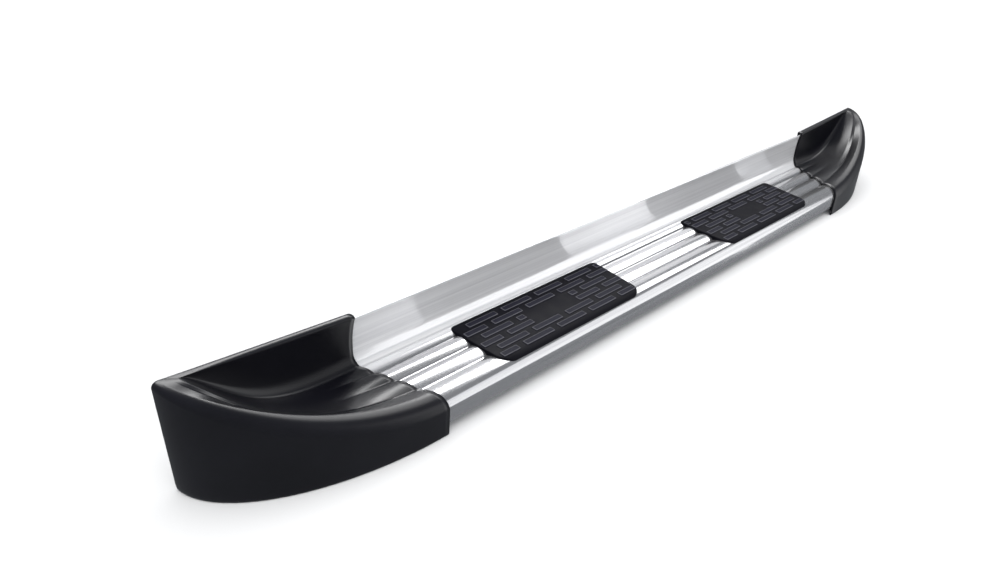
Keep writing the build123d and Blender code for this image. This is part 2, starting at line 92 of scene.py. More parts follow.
CAP_OFFSET = 3.3 * MM        # outside of a cap over the outside of the skin
CAP_WALL = 3.0 * MM
BEND_X = 650.0 * MM          # where a cap's plan turns from straight into a quarter of an ellipse
PLAN_AXIS = 332.8 * MM       # half-axis of that ellipse along the board
CAP_REAR_Y = 77.8 * MM
CAP_TOP_AT_JOINT = 158.5 * MM
CAP_TOP_AT_TIP = 174.0 * MM
RIM_AT_TIP = 175.0 * MM
CAP_FLARE = 12.0 * MM        # the top of the tip stands this much outboard of its foot
RIM_LINEAR_SHARE = 0.25      # share of the rim's climb that is even; the rest comes late
RIM_POWER = 2.2
RAMP_START = 0.05            # softness of the start of the rim's ramp
FLOOR_AT_TIP = 0.93          # share of the way from the valleys to a cap's top that its floor climbs
FLOOR_POWER = 5.0
FLOOR_EASING = 1.5           # levels the scoop's floor off towards the tip
SCOOP_POWER = 2.2            # steepness of the scoop's side below the rim
RIB_FADE_END = 0.45          # share of the way to the tip at which the ribs have faded out
RIM_AXIS = 322.0 * MM        # plan half-axis of the rim's crest, shorter than the outer wall's
RIM_RADIUS_AT_TIP = 9.0 * MM
RIM_TIGHTENS = 8.0           # how late the rim's rounding gets smaller
RIM_STEPS = 18
SCOOP_AXIS = 302.0 * MM      # plan half-axis of the scoop
SCOOP_END_Y = 66.0 * MM
SCOOP_END_Z = 173.0 * MM
SCOOP_STEPS = 72
SCOOP_HASTE = 3.0            # the scoop has left the rim's plan for its own in 1 / this of its rows
TIP_POWER = 6                # how late a row leaves its climb for its set height at the tip
TOP_ASPECT = 1.5             # width of the rounding of a cap's top edge, in heights
TOP_FRONT_STEPS = 8
TOP_FLAT_STEPS = 10
EDGE_RADIUS = 4.5 * MM       # between the outside of a cap and its flat rear face
FOOT_RADIUS = 3.0 * MM
FACE_LEVELS = (0.0, 0.4, 1.0, 1.8, 3.0, 6.0, 12.0, 20.0, 30.0, 38.0)     # of the outer wall, in mm
COLUMNS = 56                 # even columns from the joint to the tip, of which
EVEN_COLUMNS = 52            # this many are kept, and
TIP_COLUMNS = 14             # closer ones take the place of the rest
JOINT_PASSES = 12            # of the search for where a row crosses the slanted joint
SOLID_TIP_X = 945.0 * MM     # beyond this, and above SOLID_TIP_Z, a cap's two sides meet
SOLID_TIP_Z = 150.0 * MM
SOLID_TIP_SHARE = 0.02       # of the wall that is left to the shell there
BRIDGE_X = (665.0 * MM, 725.0 * MM)      # strip under a cap that its screws pass through
BRIDGE_TOP = 7.0 * MM

PAD_TAPER = 9.0 * MM         # how much further each end of a pad stands back at its front
PAD_TOP_REAR_Z = 75.0 * MM
PAD_OVER_CREST = 2.8 * MM
PAD_CORNER_REAR = 12.0 * MM
PAD_CORNER_FRONT = 24.0 * MM
PAD_EDGE_RADIUS = 2.2 * MM
PAD_LEAST = 0.2 * MM         # thickness of a pad at its outline
PAD_EDGE_STEPS = 6
PAD_STEPS = (14, 48)         # along and across the board
TREAD_ROWS = 6
TREAD_REAR_Y = 45.0 * MM
TREAD_ROW_PITCH = 18.0 * MM
TREAD_SIZE = (68.0 * MM, 12.0 * MM)      # of a whole block, along and across the board
TREAD_PITCH = 83.0 * MM
TREAD_START_X = -578.0 * MM
TREAD_CORNER = 1.2 * MM
TREAD_RING = 16              # points round a block
TREAD_BEVEL = 2              # level of TREAD_PROFILE at which the bevel starts; its faces carry the painted highlight
TREAD_PROFILE = ((0.0, -0.4), (0.15, 0.9), (0.35, 1.15), (1.7, 1.6), (2.2, 1.65))     # inset, height, mm
TREAD_MARGIN = 3.0 * MM      # between the blocks and the end of the pad
TREAD_STUB = 10.0 * MM       # shorter cut blocks are left out
PANEL_X = (-395.0 * MM, -278.0 * MM)     # plain panel that interrupts the rows PANEL_ROWS
PANEL_ROWS = (2, 3)
PEG_RADIUS = 3.0 * MM
PEG_END = ((0.55, 0.0), (0.9, 0.4), (1.0, 1.1))     # share of the radius, height over the end in mm
PEG_SUNK = 0.5 * MM          # how far a peg runs up into the pad
PEG_SEGMENTS = 20
PEG_PITCH = 130.0 * MM
PEG_ROWS = ((6.5 * MM, 58.9 * MM), (-50.0 * MM, 58.7 * MM))     # y, height of the peg's end


# ---------------------------------------------------------------- plane curves
def lerp(a, b, t):
    return a + (b - a) * t


def smooth(t):
    """Eased step from 0 to 1."""
    t = min(1.0, max(0.0, t))
    return t * t * (3 - 2 * t)


def corner_inset(radius, into):
    """How far a rounded corner stands back from its side, at a distance into its radius."""
    return radius - math.sqrt(max(0.0, radius ** 2 - min(radius, max(0.0, into)) ** 2))


def circle_through(a, b, c):
    """Centre and radius of the circle through three points of a plane."""
    (ax, ay), (bx, by), (cx, cy) = a, b, c
    d = 2 * (ax * (by - cy) + bx * (cy - ay) + cx * (ay - by))
    sa, sb, sc = ax * ax + ay * ay, bx * bx + by * by, cx * cx + cy * cy
    x = (sa * (by - cy) + sb * (cy - ay) + sc * (ay - by)) / d
    y = (sa * (cx - bx) + sb * (ax - cx) + sc * (bx - ax)) / d
    return (x, y), math.hypot(ax - x, ay - y)


def arc(centre, radius, start, end, steps):
    """Points round a circle between two of its points, the shorter way."""
    first = math.atan2(start[1] - centre[1], start[0] - centre[0])
    turn = math.atan2(end[1] - centre[1], end[0] - centre[0]) - first
    turn = (turn + math.pi) % (2 * math.pi) - math.pi
    angles = [first + turn * i / steps for i in range(steps + 1)]
    return [(centre[0] + radius * math.cos(a), centre[1] + radius * math.sin(a)) for a in angles]


def tangent_circle(start, tangent, end):
    """Circle that leaves start along tangent and passes through end."""
    normal = (-tangent[1], tangent[0])
    dx, dy = end[0] - start[0], end[1] - start[1]
    signed = (dx * dx + dy * dy) / (2 * (dx * normal[0] + dy * normal[1]))
    centre = (start[0] + normal[0] * signed, start[1] + normal[1] * signed)
    return centre, abs(signed)


def valley_z(y):
    """Height of the line through the valleys."""
    return VALLEY_Z + STEP_SLOPE * (y - VALLEYS[1])


WALL_ARC = circle_through(WALL_TOP, WALL_MIDDLE, FILLET_TOP)
radial = (FILLET_TOP[0] - WALL_ARC[0][0], FILLET_TOP[1] - WALL_ARC[0][1])
wall_end_tangent = (radial[1] / WALL_ARC[1], -radial[0] / WALL_ARC[1])
FILLET_ARC = tangent_circle(FILLET_TOP, wall_end_tangent, CREASE)
RIB_ENDS = [CREASE] + [(y, valley_z(y)) for y in VALLEYS]
RIB_ARCS = []
for back, front in zip(RIB_ENDS, RIB_ENDS[1:]):
    crown_y = (back[0] + front[0]) / 2
    RIB_ARCS.append(circle_through(back, (crown_y, valley_z(crown_y) + RIB_RISE), front))
NOSE_BACK_ARC = tangent_circle(CREST, (1, 0), RIB_ENDS[-1])
NOSE_CENTRE = (CREST[0], CREST[1] - NOSE_RADIUS)


def step_height(y, offset=0.0):
    """Height of the step and nose at y, on a surface that lies outside the skin by offset."""
    if y <= CREST[0]:
        reach = NOSE_RADIUS + offset
        return NOSE_CENTRE[1] + math.sqrt(max(0.0, reach ** 2 - (y - CREST[0]) ** 2))
    arcs = RIB_ARCS + [NOSE_BACK_ARC]
    limits = list(VALLEYS) + [CREST[0]]
    for (centre, radius), low_y in zip(arcs, limits):
        if y >= low_y:
            return centre[1] + math.sqrt((radius + offset) ** 2 - (y - centre[0]) ** 2)
    return CREST[1] + offset


# ---------------------------------------------------------------- meshes
def make_object(name, points, faces, material, sharp_angle=40.0):
    """A mesh object, shaded smooth except across edges sharper than sharp_angle degrees."""
    mesh = bpy.data.meshes.new(name)
    mesh.from_pydata([tuple(p) for p in points], [], faces)
    welded = bmesh.new()
    welded.from_mesh(mesh)
    bmesh.ops.remove_doubles(welded, verts=welded.verts, dist=WELD)
    welded.to_mesh(mesh)
    welded.free()
    mesh.validate()
    mesh.materials.append(material)
    mesh.shade_smooth()
    mesh.set_sharp_from_angle(angle=math.radians(sharp_angle))
    piece = bpy.data.objects.new(name, mesh)
    bpy.context.scene.collection.objects.link(piece)
    return piece


def grid_faces(rows, columns, first=0, flip=False):
    """Quads between rows of equally many points."""
    faces = []
    for r in range(rows - 1):
        for c in range(columns - 1):
            a = first + r * columns + c
            quad = [a, a + 1, a + columns + 1, a + columns]
            faces.append(quad[::-1] if flip else quad)
    return faces


def ring_faces(rings, count):
    """Quads between closed rings of count points each."""
    faces = []
    for low in range(0, (rings - 1) * count, count):
        for i in range(count):
            j = (i + 1) % count
            faces.append([low + i, low + j, low + count + j, low + count + i])
    return faces


def mirrored_x(points, faces):
    """Mirror image of a mesh drawn on the left."""
    return [(-x, y, z) for x, y, z in points], [face[::-1] for face in faces]


def for_side(points, faces, side):
    """A mesh drawn on the left, as it is or mirrored."""
    return (points, faces) if side < 0 else mirrored_x(points, faces)


# ---------------------------------------------------------------- stainless skin
def skin_outline():
    """Visible surface of the sheet, from the foot of the hem over the wall and step to the flange."""
    hem_y = WALL_TOP[0] + 2 * HEM_RADIUS
    fold_z = WALL_TOP[1] - HEM_RADIUS
    foot = (hem_y + HEM_LEAN, WALL_TOP[1] - HEM_HEIGHT)
    shares = [i / FLAT_STEPS for i in range(FLAT_STEPS)]
    points = [(lerp(foot[0], hem_y, share), lerp(foot[1], fold_z, share)) for share in shares]
    fold_y = WALL_TOP[0] + HEM_RADIUS
    for i in range(HEM_STEPS + 1):
        a = math.pi * i / HEM_STEPS
        points.append((fold_y + HEM_RADIUS * math.cos(a), fold_z + HEM_RADIUS * math.sin(a)))
    wall_start = (WALL_TOP[0], fold_z - HEM_RADIUS)
    points += arc(*WALL_ARC, wall_start, FILLET_TOP, WALL_STEPS)[1:]
    points += arc(*FILLET_ARC, FILLET_TOP, CREASE, FILLET_STEPS)[1:]
    half = CREASE_WIDTH / 2
    for circle, start, end in zip(RIB_ARCS, RIB_ENDS, RIB_ENDS[1:]):
        before, after = (start[0] - half, start[1]), (end[0] + half, end[1])
        points += arc(*circle, before, after, RIB_STEPS)
        points.append((end[0], end[1] - CREASE_DEPTH))
    points += arc(*NOSE_BACK_ARC, (RIB_ENDS[-1][0] - half, RIB_ENDS[-1][1]), CREST, CREST_STEPS)
    points += arc(NOSE_CENTRE, NOSE_RADIUS, CREST, (NOSE_Y, NOSE_CENTRE[1]), NOSE_STEPS)[1:]
    curl_centre = (NOSE_Y + CURL_RADIUS, FLANGE_Z + CURL_RADIUS)
    points.append((NOSE_Y, (NOSE_CENTRE[1] + curl_centre[1]) / 2))
    curl_start, curl_end = (NOSE_Y, curl_centre[1]), (curl_centre[0], FLANGE_Z)
    points += arc(curl_centre, CURL_RADIUS, curl_start, curl_end, CURL_STEPS)
    for i in range(1, FLAT_STEPS + 1):
        points.append((lerp(curl_centre[0], FLANGE_END_Y, i / FLAT_STEPS), FLANGE_Z))
    return points


def inner_outline(outline, thickness):
    """The outline moved to the other side of the sheet."""
    inner = []
    for i, (y, z) in enumerate(outline):
        before, after = outline[max(0, i - 1)], outline[min(len(outline) - 1, i + 1)]
        ty, tz = after[0] - before[0], after[1] - before[1]
        length = math.hypot(ty, tz)
        inner.append((y - tz / length * thickness, z + ty / length * thickness))
    return inner


def skin_mesh():
    """The folded sheet, with both ends cut on the slant that the caps follow."""
    outline = skin_outline()
    loop = outline + inner_outline(outline, GAUGE)[::-1]
    points, faces = [], []
    count = len(loop)
    for side in (-1, 1):
        for y, z in loop:
            points.append((side * (JOINT_X + TUCK - JOINT_SLANT * (CREASE[0] - y)), y, z))
    for i in range(count):
        j = (i + 1) % count
        faces.append([i, j, count + j, count + i])
    half = len(outline)
    for base, flip in ((0, True), (count, False)):
        for i in range(half - 1):
            quad = [base + i, base + i + 1, base + count - 2 - i, base + count - 1 - i]
            faces.append(quad[::-1] if flip else quad)
    return points, faces


# ---------------------------------------------------------------- end caps, drawn as the left one
def floor_z(y):
    """Middle height of the moulded ribs at the joint."""
    return valley_z(min(y, CREASE[0] - CAP_OFFSET)) + CAP_OFFSET + RIB_RISE / 2


class Row:
    """A line along the outside of a cap, from the joint to the tip.

    It leaves the joint at y and z, reaches axis past the bend and ends at end_y across the board.
    kind says which part of the section it belongs to, and share how far up the scoop's side it is.
    end_z is its height at the tip where the climb alone doesn't set it, and lean (x, z) is the way
    the outside faces there."""

    def __init__(self, kind, y, z, axis, end_y=CAP_REAR_Y, end_z=None, share=0.0, lean=(0, 1)):
        self.kind, self.y, self.z, self.share = kind, y, z, share
        self.axis, self.end_y, self.end_z = axis, end_y, end_z
        self.outward = Vector((lean[0], 0.0, lean[1]))

    def climb(self, t):
        """Height at fraction t of the way to the tip; t is below 0 inboard of the bend."""
        bent = max(0.0, t)
        ramp = (math.sqrt(t * t + RAMP_START ** 2) + t) / 2
        wall = (CAP_TOP_AT_TIP - CAP_TOP_AT_JOINT) * bent
        floor = 1 - (1 - bent ** FLOOR_POWER) ** FLOOR_EASING
        floor *= FLOOR_AT_TIP * (CAP_TOP_AT_TIP - VALLEY_Z)
        rim = RIM_LINEAR_SHARE * ramp + (1 - RIM_LINEAR_SHARE) * bent ** RIM_POWER
        rim *= RIM_AT_TIP - CREST[1] - CAP_OFFSET
        face_top, base = NOSE_CENTRE[1], floor_z(self.y)
        radius = lerp(NOSE_RADIUS + CAP_OFFSET, RIM_RADIUS_AT_TIP, bent ** RIM_TIGHTENS)
        shoulder = CREST[1] + CAP_OFFSET + rim - radius
        if self.kind == "face":
            return self.z * shoulder / face_top
        if self.kind == "nose":
            return shoulder + radius * (self.z - face_top) / (NOSE_RADIUS + CAP_OFFSET)
        if self.kind == "scoop":
            ribs = 1 - smooth(t / RIB_FADE_END) if self.y > VALLEYS[2] else 1.0
            return base + (self.z - base) * ribs + lerp(floor, rim, self.share ** SCOOP_POWER)
        up = (self.z - base) / (CAP_TOP_AT_JOINT - base)
        return lerp(base + floor, CAP_TOP_AT_JOINT + wall, up)

    def point(self, angle):
        """The point at an angle round the plan ellipse; below 0 it is on the straight part."""
        bent = max(0.0, angle)
        width, t = math.cos(bent), math.sin(bent)
        z = self.climb(t if bent else angle)
        if self.end_z is not None:
            z += (self.end_z - self.climb(1.0)) * t ** TIP_POWER
        reach = self.axis * (t if bent else angle)
        x = -(BEND_X + reach) - CAP_FLARE * t * t * z / CAP_TOP_AT_TIP
        return Vector((x, self.end_y - (self.end_y - self.y) * width, z))

    def start(self):
        """The angle at which the row crosses the slanted joint."""
        angle = 0.0
        for _ in range(JOINT_PASSES):
            y = self.point(angle).y
            reach = (JOINT_X - JOINT_SLANT * (CREASE[0] - y) - BEND_X) / self.axis
            angle = math.asin(reach) if reach > 0 else reach
        return angle


def face_rows():
    """Rows of the outer wall, with its foot rounded under."""
    rows = []
    for level in FACE_LEVELS:
        z = level * MM
        below = max(0.0, 1 - z / FOOT_RADIUS)
        tuck = FOOT_RADIUS * (1 - math.sqrt(1 - below * below))
        y = NOSE_Y - CAP_OFFSET + tuck
        rows.append(Row("face", y, z, PLAN_AXIS - tuck, lean=(-1, 0)))
    return rows


def nose_rows():
    """Rows round the rim, from the outer wall to its crest."""
    rows, radius = [], NOSE_RADIUS + CAP_OFFSET
    for i in range(RIM_STEPS + 1):
        a = math.pi / 2 * i / RIM_STEPS
        axis = lerp(RIM_AXIS, PLAN_AXIS, math.cos(a))
        y, z = CREST[0] - radius * math.cos(a), NOSE_CENTRE[1] + radius * math.sin(a)
        rows.append(Row("nose", y, z, axis, lean=(-math.cos(a), math.sin(a))))
    return rows


def scoop_rows():
    """Rows down the inner side of the rim and across the ribbed floor to the crease."""
    rows = []
    for i in range(1, SCOOP_STEPS + 1):
        y = lerp(CREST[0], CREASE[0] - CAP_OFFSET, i / SCOOP_STEPS)
        inward = min(1.0, SCOOP_HASTE * i / SCOOP_STEPS)
        axis, end_y = lerp(RIM_AXIS, SCOOP_AXIS, inward), lerp(CAP_REAR_Y, SCOOP_END_Y, inward)
        end_z = lerp(RIM_AT_TIP, SCOOP_END_Z, inward)
        share = 1 - i / SCOOP_STEPS
        rows.append(Row("scoop", y, step_height(y, CAP_OFFSET), axis, end_y, end_z, share))
    return rows


def wall_rows(above):
    """Rows up the back wall from the height above."""
    fillet = arc(FILLET_ARC[0], FILLET_ARC[1] - CAP_OFFSET, CREASE, FILLET_TOP, FILLET_STEPS)
    wall = arc(WALL_ARC[0], WALL_ARC[1] - CAP_OFFSET, FILLET_TOP, WALL_TOP, WALL_STEPS)
    line = [p for p in fillet if p[1] > above] + wall[1:]
    return [Row("wall", y, z, SCOOP_AXIS, SCOOP_END_Y, SCOOP_END_Z) for y, z in line]


def top_rows(front):
    """Rows over the top edge of the back wall, from its rounded front to the rear face."""
    height = CAP_TOP_AT_JOINT - front.z
    width = TOP_ASPECT * height
    line = []
    for i in range(1, TOP_FRONT_STEPS + 1):
        a = math.pi / 2 * i / TOP_FRONT_STEPS
        line.append((front.y + width * (1 - math.cos(a)), front.z + height * math.sin(a)))
    flat_start = line[-1][0]
    for i in range(1, TOP_FLAT_STEPS + 1):
        a = math.pi / 2 * i / TOP_FLAT_STEPS
        line.append((lerp(flat_start, CAP_REAR_Y, math.sin(a)), CAP_TOP_AT_JOINT))
    rows = []
    for y, z in line:
        share = (y - front.y) / (CAP_REAR_Y - front.y)
        axis, end_y = lerp(SCOOP_AXIS, RIM_AXIS, share), lerp(SCOOP_END_Y, CAP_REAR_Y, share)
        rows.append(Row("wall", y, z, axis, end_y, lerp(SCOOP_END_Z, RIM_AT_TIP, share)))
    return rows


def column_shares():
    """Shares of the way from the joint to the tip, closer together near the tip."""
    even = [i / COLUMNS for i in range(EVEN_COLUMNS + 1)]
    near_tip = [1 - i / TIP_COLUMNS for i in range(1, TIP_COLUMNS + 1)]
    return even + [lerp(1.0, even[-1], left ** 2) for left in near_tip]


def rounded_to_rear(point, outward):
    """The point, moved in where the outside of a cap turns into its flat rear face."""
    depth = max(0.0, CAP_REAR_Y - point.y)
    if depth >= EDGE_RADIUS:
        return point
    return point - outward * corner_inset(EDGE_RADIUS, EDGE_RADIUS - depth)


def bridge_outline(steps=6):
    """Plan of the strip across the foot of a cap, with its ends inside the cap's walls."""
    depth = CAP_REAR_Y - NOSE_Y + CAP_OFFSET
    sunk = CAP_WALL / 2
    points = []
    for i in range(steps + 1):
        x = lerp(BRIDGE_X[0], BRIDGE_X[1], i / steps)
        width = math.sqrt(1 - ((x - BEND_X) / PLAN_AXIS) ** 2)
        points.append(Vector((-x, CAP_REAR_Y - depth * width + sunk, BRIDGE_TOP)))
    points.append(Vector((-BRIDGE_X[1], CAP_REAR_Y - sunk, BRIDGE_TOP)))
    points.append(Vector((-BRIDGE_X[0], CAP_REAR_Y - sunk, BRIDGE_TOP)))
    return points


def cap_mesh():
    """Outside of a cap: outer wall, rim, scoop, back wall, flat rear face and the bridge below."""
    outer = face_rows() + nose_rows()
    rows = outer + scoop_rows()
    rows += wall_rows(rows[-1].z)
    rows += top_rows(rows[-1])
    shares = column_shares()
    columns = len(shares)
    points = []
    for row in rows:
        start = row.start()
        line = [row.point(lerp(start, math.pi / 2, share)) for share in shares]
        points += [rounded_to_rear(point, row.outward) for point in line]
    faces = grid_faces(len(rows), columns, flip=True)
    rear_edge = list(range(len(points) - columns, len(points)))
    tip_edge = [row * columns + columns - 1 for row in reversed(range(len(outer)))]
    points.append(Vector((points[rear_edge[0]].x, CAP_REAR_Y, 0.0)))
    faces.append((rear_edge + tip_edge[1:] + [len(points) - 1])[::-1])
    bridge = bridge_outline()
    faces.append([len(points) + i for i in range(len(bridge))][::-1])
    return points + bridge, faces


def wall_group(piece):
    """Vertex group of a cap's points that have the full wall: all but those of its solid tip."""
    group = piece.vertex_groups.new(name="full_wall")
    for vertex in piece.data.vertices:
        at_tip = abs(vertex.co.x) > SOLID_TIP_X and vertex.co.z > SOLID_TIP_Z
        group.add([vertex.index], 0.0 if at_tip else 1.0, "REPLACE")
    return group.name


def end_cap(name, side, material):
    """A whole cap: a shell with its wall inside the drawn surface."""
    points, faces = for_side(*cap_mesh(), side)
    piece = make_object(f"{name}_moulding", points, faces, material, sharp_angle=50.0)
    rear_face = max(piece.data.polygons, key=lambda polygon: polygon.area)
    rear_face.use_smooth = False
    shell = piece.modifiers.new("wall", "SOLIDIFY")
    shell.thickness = CAP_WALL
    shell.offset = -1.0
    shell.vertex_group = wall_group(piece)
    shell.thickness_vertex_group = SOLID_TIP_SHARE
    return piece


# ---------------------------------------------------------------- step pads, drawn as the left one
PAD_LOW, PAD_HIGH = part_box("step_pad_left")
PAD_OUTER, PAD_INNER = PAD_LOW.x, PAD_HIGH.x
PAD_FRONT, PAD_REAR = PAD_LOW.y, PAD_HIGH.y


def pad_height(y):
    """Height of the plain top of a pad."""
    crest_z = CREST[1] + PAD_OVER_CREST
    if y < CREST[0]:
        radius = NOSE_RADIUS + PAD_OVER_CREST
        return NOSE_CENTRE[1] + math.sqrt(radius ** 2 - (y - CREST[0]) ** 2)
    return lerp(crest_z, PAD_TOP_REAR_Z, (y - CREST[0]) / (PAD_REAR - CREST[0]))


def pad_slant(y):
    """How far the straight end of a pad at y stands back from its rear corner."""
    return PAD_TAPER * (PAD_REAR - y) / (PAD_REAR - PAD_FRONT)


def pad_inset(y):
    """How far the end of a pad at y stands back, with its rounded corners."""
    rear = corner_inset(PAD_CORNER_REAR, y - (PAD_REAR - PAD_CORNER_REAR))
    front = corner_inset(PAD_CORNER_FRONT, PAD_FRONT + PAD_CORNER_FRONT - y)
    return pad_slant(y) + rear + front


def pad_depth(x, y):
    """Distance of a point of a pad from the nearest part of its outline."""
    from_end = min(x - PAD_OUTER, PAD_INNER - x) - pad_slant(y)
    from_rear, from_front = PAD_REAR - y, y - PAD_FRONT
    for from_side, radius in ((from_rear, PAD_CORNER_REAR), (from_front, PAD_CORNER_FRONT)):
        if from_end < radius and from_side < radius:
            return max(0.0, radius - math.hypot(radius - from_end, radius - from_side))
    return max(0.0, min(from_end, from_rear, from_front))


def eased_steps(low, high, edge, fine, coarse):
    """Values from low to high, packed within edge of each end."""
    near = [edge * (1 - math.cos(math.pi / 2 * i / fine)) for i in range(fine)]
    middle = [lerp(low + edge, high - edge, i / coarse) for i in range(coarse + 1)]
    return [low + step for step in near] + middle + [high - step for step in reversed(near)]


def pad_slab():
    """The pad without its tread: rounded top, sides and an underside that follows the ribs."""
    steps_along, steps_across = PAD_STEPS
    lines = eased_steps(PAD_REAR, PAD_FRONT, -PAD_EDGE_RADIUS, PAD_EDGE_STEPS, steps_across)
    top, bottom = [], []
    for y in lines:
        inset, low = pad_inset(y), step_height(y)
        x_ends = (PAD_OUTER + inset, PAD_INNER - inset)
        for x in eased_steps(*x_ends, PAD_EDGE_RADIUS, PAD_EDGE_STEPS, steps_along):
            round_off = corner_inset(PAD_EDGE_RADIUS, PAD_EDGE_RADIUS - pad_depth(x, y))
            top.append((x, y, max(low + PAD_LEAST, pad_height(y) - round_off)))
            bottom.append((x, y, low))
    rows, columns = len(lines), len(top) // len(lines)
    faces = grid_faces(rows, columns, flip=True)
    faces += grid_faces(rows, columns, first=len(top))
    rim = list(range(columns)) + [r * columns + columns - 1 for r in range(1, rows)]
    rim += [(rows - 1) * columns + c for c in range(columns - 2, -1, -1)]
    rim += [r * columns for r in range(rows - 2, 0, -1)]
    for a, b in zip(rim, rim[1:] + rim[:1]):
        faces.append([a, b, len(top) + b, len(top) + a])
    return top + bottom, faces


def tread_block(x_low, x_high, y_low, y_high):
    """One raised block: a rounded rectangle with a gently bevelled top edge."""
    points = []
    for inset, height in TREAD_PROFILE:
        reach = TREAD_CORNER + inset * MM
        right, left = x_high - reach, x_low + reach
        back, front = y_high - reach, y_low + reach
        for quarter, (x, y) in enumerate([(right, back), (left, back), (left, front), (right, front)]):
            for i in range(TREAD_RING // 4):
                a = math.pi / 2 * (quarter + i / (TREAD_RING // 4 - 1))
                block_x, block_y = x + TREAD_CORNER * math.cos(a), y + TREAD_CORNER * math.sin(a)
                points.append((block_x, block_y, pad_height(block_y) + height * MM))
    faces = ring_faces(len(TREAD_PROFILE), TREAD_RING)
    faces.append(list(range(len(points) - TREAD_RING, len(points))))
    return points, faces


def tread_spans(row, x_low, x_high):
    """Ends of the blocks in one row, cut to the pad and to the plain panel."""
    windows = [(x_low, PANEL_X[0]), (PANEL_X[1], x_high)] if row in PANEL_ROWS else [(x_low, x_high)]
    spans = []
    x = TREAD_START_X + (TREAD_PITCH / 2 if row % 2 else 0.0)
    while x < x_high:
        cut = [(max(x, low), min(x + TREAD_SIZE[0], high)) for low, high in windows]
        spans += [(left, right) for left, right in cut if right - left > TREAD_STUB]
        x += TREAD_PITCH
    return spans


def join(parts):
    """One mesh from several, with the number of faces of each."""
    points, faces, counts = [], [], []
    for part_points, part_faces in parts:
        first = len(points)
        points += part_points
        faces += [[first + i for i in face] for face in part_faces]
        counts.append(len(part_faces))
    return points, faces, counts


def tread():
    """All the raised blocks of a pad."""
    blocks = []
    for row in range(TREAD_ROWS):
        y_high = TREAD_REAR_Y - row * TREAD_ROW_PITCH
        y_low = y_high - TREAD_SIZE[1]
        inset = TREAD_MARGIN + pad_inset(y_low)
        for x_low, x_high in tread_spans(row, PAD_OUTER + inset, PAD_INNER - inset):
            blocks.append(tread_block(x_low, x_high, y_low, y_high))
    points, faces, _ = join(blocks)
    return points, faces


def lathe(x, y, profile, segments):
    """A turned shape on an upright axis, from (radius, z) pairs that run from bottom to top."""
    points = []
    for radius, z in profile:
        for i in range(segments):
            a = 2 * math.pi * i / segments
            points.append((x + radius * math.cos(a), y + radius * math.sin(a), z))
    faces = ring_faces(len(profile), segments)
    faces.append(list(range(segments))[::-1])
    faces.append(list(range(len(points) - segments, len(points))))
    return points, faces


def pegs():
    """The pegs of a pad, with rounded ends, that come out below the skin."""
    middle = (PAD_OUTER + PAD_INNER) / 2
    turned = []
    for y, end_z in PEG_ROWS:
        profile = [(PEG_RADIUS * share, end_z + rise * MM) for share, rise in PEG_END]
        profile.append((PEG_RADIUS, step_height(y) + PEG_SUNK))
        for step in (-1, 0, 1):
            turned.append(lathe(middle + step * PEG_PITCH, y, profile, PEG_SEGMENTS))
    points, faces, _ = join(turned)
    return points, faces


def step_pad(name, side, materials):
    """A whole pad; materials are those of the slab, the raised blocks (a lighter copy of the rubber as
    painted light) and the blocks' bevels (a painted highlight).
    """
    points, faces, counts = join([pad_slab(), tread(), pegs()])
    points, faces = for_side(points, faces, side)
    piece = make_object(f"{name}_rubber", points, faces, materials[0], sharp_angle=45.0)
    for material in materials[1:]:
        piece.data.materials.append(material)
    faces_per_block = (len(TREAD_PROFILE) - 1) * TREAD_RING + 1
    for polygon in piece.data.polygons:
        place_in_tread = polygon.index - counts[0]
        if 0 <= place_in_tread < counts[1]:
            level = place_in_tread % faces_per_block // TREAD_RING
            # Bevel faces take the painted-highlight rubber, the other block faces the lighter
            # painted-light rubber.
            polygon.material_index = 2 if level == TREAD_BEVEL else 1
    return piece


# ---------------------------------------------------------------- materials
# The same band also turns the step's darker base colour, which is painted shade, into the wall's lighter
# one.
SATIN_BELOW = 3.0 * MM       # the step's polish starts to turn into the wall's satin this far
SATIN_ABOVE = 2.0 * MM       # below the crease, and has turned this far above it
GRAIN_DEPTH = 0.08 * MM      # of the moulded plastic and rubber
POLISH_DEPTH = 0.5 * MM      # of the polishing lines
PLATING_DEPTH = 0.1 * MM


